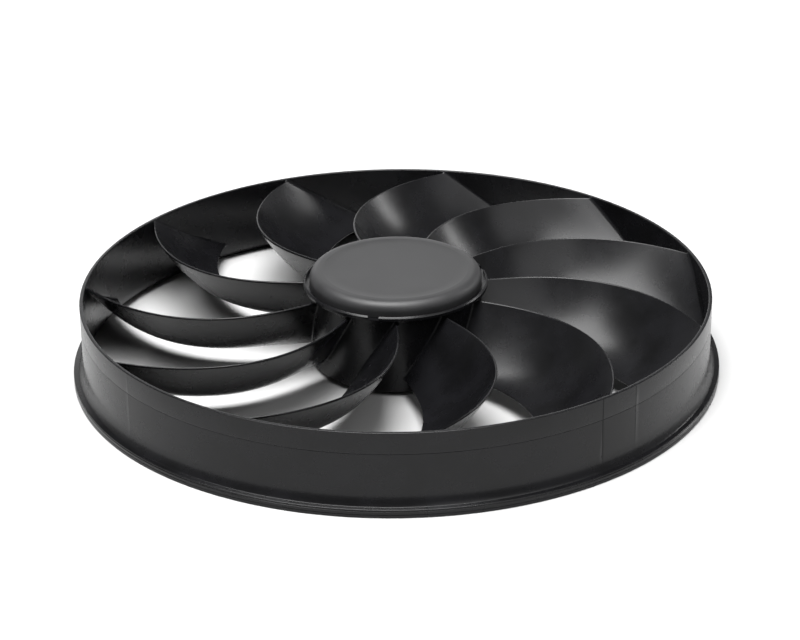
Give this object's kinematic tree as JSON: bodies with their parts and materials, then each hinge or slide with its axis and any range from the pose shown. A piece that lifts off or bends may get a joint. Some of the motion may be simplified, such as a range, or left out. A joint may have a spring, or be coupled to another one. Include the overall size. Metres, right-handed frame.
{
  "type": "axial fan impeller",
  "caption": "Banded axial fan impeller: swept, cambered blades moulded between a cupped hub and a lipped outer ring, with a clip-in hub cap.",
  "frame": {"origin": "on the rotor axis, in the plane that the ring's foot stands on", "axes": "+Z along the rotor axis, from the ring's lipped foot and the open side of the hub towards the hub cap; one collar notch of the hub faces 103.9 degrees clockwise of +X seen from above"},
  "size_m": [0.392, 0.392, 0.0611],
  "materials": {
    "impeller_plastic": "satin, injection moulded",
    "cap_plastic": "fine matte, injection moulded",
    "sleeve_steel": "zinc plated"
  },
  "bodies": {
    "root": {"impeller": "impeller_plastic", "hub_cap": "cap_plastic", "screw_sleeves": "sleeve_steel"}
  },
  "joints": []
}
